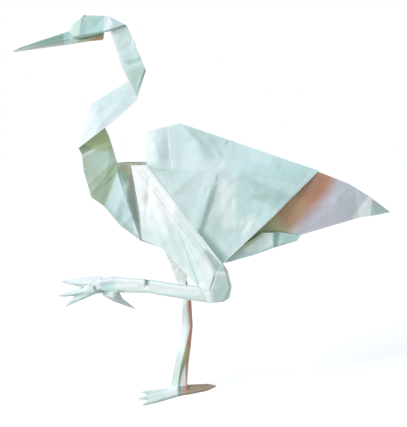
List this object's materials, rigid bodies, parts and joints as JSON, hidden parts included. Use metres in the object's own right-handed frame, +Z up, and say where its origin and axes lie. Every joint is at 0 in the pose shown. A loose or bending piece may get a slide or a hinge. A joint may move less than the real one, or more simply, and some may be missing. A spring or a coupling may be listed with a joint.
{
  "type": "origami crane",
  "caption": "Wading bird folded from a sheet of pale paper: long beak, S-bent pleated neck, tent wings, standing on its right leg with the left drawn up.",
  "frame": {"origin": "on the flat sole of the standing foot, under the ankle", "axes": "+X towards the tail, so the beak points to -X; +Y towards the crane's right side; +Z up from the sole"},
  "size_m": [0.1864, 0.0343, 0.1943],
  "materials": {
    "paper": "matt, pale mint tissue-weight paper with soft creases"
  },
  "bodies": {
    "root": {"crane": "paper"}
  },
  "joints": []
}
